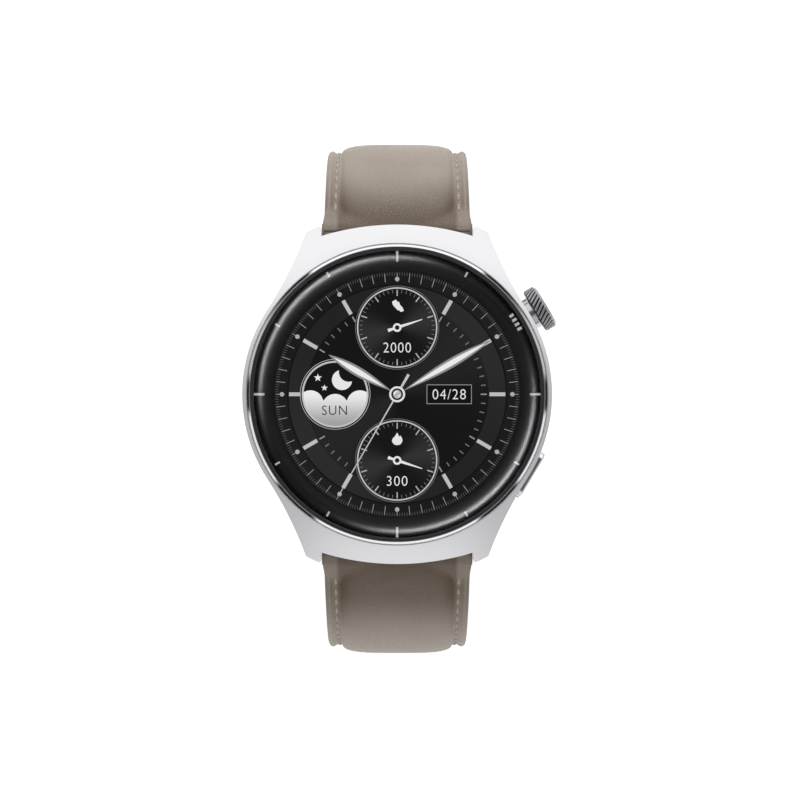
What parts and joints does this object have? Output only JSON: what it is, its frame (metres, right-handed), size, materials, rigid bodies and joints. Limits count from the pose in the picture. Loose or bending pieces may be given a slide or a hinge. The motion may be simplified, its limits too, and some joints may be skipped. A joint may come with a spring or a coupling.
{
  "type": "smartwatch",
  "caption": "Round steel smartwatch with a domed glass, turning push crown, side key, quick-release bars and an open padded leather strap with a pin buckle.",
  "frame": {"origin": "centre of the flat on the sensor window, the face that rests on the wrist", "axes": "+X to 3 o'clock, +Y to 12 o'clock, +Z out of the dial"},
  "size_m": [0.0467, 0.0772, 0.0681],
  "materials": {
    "steel_case": "fine satin steel with polished edges",
    "steel_bezel": "mirror polished steel",
    "steel_collar": "turned steel",
    "steel_crown": "polished steel with a dark helical knurl",
    "steel_button": "polished steel",
    "steel_buckle": "satin steel",
    "screw_steel": "turned steel",
    "spring_steel": "drawn wire",
    "back_steel": "circular brushed steel",
    "shield_steel": "stamped sheet",
    "glass": "clear polished glass, rolled rim",
    "sensor_glass": "dark polished window",
    "black_print": "black print under the glass with white ticks",
    "screen": null,
    "black_rubber": "matt",
    "polyimide": "amber film",
    "inner_plastic": "fine matt",
    "board": "solder mask",
    "battery_foil": "foil pouch",
    "led_green": "clear resin",
    "copper": "wound copper wire",
    "ferrite": "matt sheet",
    "strap_leather": "taupe smooth grained leather",
    "strap_filler": "foam filler",
    "lining_leather": "matt nubuck lining"
  },
  "bodies": {
    "case": {"back_gasket": "black_rubber", "back_screws": "screw_steel", "battery": "battery_foil", "bezel_ring": "steel_bezel", "border_print": "black_print", "button_bracket": "screw_steel", "button_switch": "inner_plastic", "case_back": "back_steel", "charge_coil": "copper", "chip_shields": "shield_steel", "cover_glass": "glass", "crown_switch": "inner_plastic", "crown_tube": "steel_collar", "display_flex": "polyimide", "display_panel": "screen", "encoder_sensor": "inner_plastic", "ferrite_sheet": "ferrite", "glass_gasket": "black_rubber", "inner_chassis": "inner_plastic", "main_board": "board", "microphone": "shield_steel", "mid_case": "steel_case", "sensor_board": "board", "sensor_leds": "led_green", "sensor_window": "sensor_glass", "speaker": "inner_plastic", "vibration_motor": "shield_steel"},
    "strap_short": {"strap_short_outer": "strap_leather", "strap_short_padding": "strap_filler", "strap_short_lining": "lining_leather", "bar_tube_short": "screw_steel", "bar_fixed_tip_short": "screw_steel", "bar_spring_short": "spring_steel", "fixed_keeper": "strap_leather"},
    "strap_long": {"strap_long_outer": "strap_leather", "strap_long_padding": "strap_filler", "strap_long_lining": "lining_leather", "bar_tube_long": "screw_steel", "bar_fixed_tip_long": "screw_steel", "bar_spring_long": "spring_steel"},
    "release_short": {"release_tip_short": "screw_steel"},
    "release_long": {"release_tip_long": "screw_steel"},
    "crown_slider": {"crown_push_plate": "screw_steel", "crown_spring": "spring_steel"},
    "crown": {"crown_stem": "screw_steel", "crown_knob": "steel_crown", "crown_seals": "black_rubber", "crown_clip": "screw_steel", "encoder_ring": "ferrite"},
    "button": {"side_button": "steel_button", "button_seals": "black_rubber", "button_clips": "screw_steel", "button_spring": "spring_steel"},
    "free_keeper": {"free_keeper": "strap_leather"},
    "buckle": {"buckle_frame": "steel_buckle", "buckle_bar": "screw_steel"},
    "tongue": {"buckle_tongue": "steel_buckle"}
  },
  "joints": [
    {"name": "strap_short_hinge", "type": "hinge", "parent": "case", "child": "strap_short", "pos_m": [0, 0.0232, 0.003], "axis": [1, 0, 0], "range_deg": [-12, 14]},
    {"name": "strap_long_hinge", "type": "hinge", "parent": "case", "child": "strap_long", "pos_m": [0, -0.0232, 0.003], "axis": [-1, 0, 0], "range_deg": [-5, 35]},
    {"name": "release_short_slide", "type": "slide", "parent": "strap_short", "child": "release_short", "axis": [-1, 0, 0], "range_m": [0, 0.0012], "stiffness_N_per_m": 600, "springref_m": -0.0016, "deforming": ["bar_spring_short"]},
    {"name": "release_long_slide", "type": "slide", "parent": "strap_long", "child": "release_long", "axis": [-1, 0, 0], "range_m": [0, 0.0012], "stiffness_N_per_m": 600, "springref_m": -0.0016, "deforming": ["bar_spring_long"]},
    {"name": "crown_press", "type": "slide", "parent": "case", "child": "crown_slider", "axis": [-0.8572, -0.515, 0], "range_m": [0, 0.0004], "stiffness_N_per_m": 900, "springref_m": -0.0008, "deforming": ["crown_spring"]},
    {"name": "crown_turn", "type": "hinge", "parent": "crown_slider", "child": "crown", "pos_m": [0, 0, 0.0058], "axis": [0.8572, 0.515, 0], "continuous": true},
    {"name": "button_press", "type": "slide", "parent": "case", "child": "button", "axis": [-0.8572, 0.515, 0], "range_m": [0, 0.00035], "stiffness_N_per_m": 900, "springref_m": -0.0008, "deforming": ["button_spring"]},
    {"name": "keeper_slide", "type": "slide", "parent": "strap_short", "child": "free_keeper", "axis": [0, 1, 0], "range_m": [0, 0.0055]},
    {"name": "buckle_hinge", "type": "hinge", "parent": "strap_short", "child": "buckle", "pos_m": [0, -0.00835, -0.03955], "axis": [-1, 0, 0], "range_deg": [-20, 60]},
    {"name": "tongue_hinge", "type": "hinge", "parent": "buckle", "child": "tongue", "pos_m": [0, -0.00835, -0.03955], "axis": [1, 0, 0], "range_deg": [0, 100]}
  ]
}
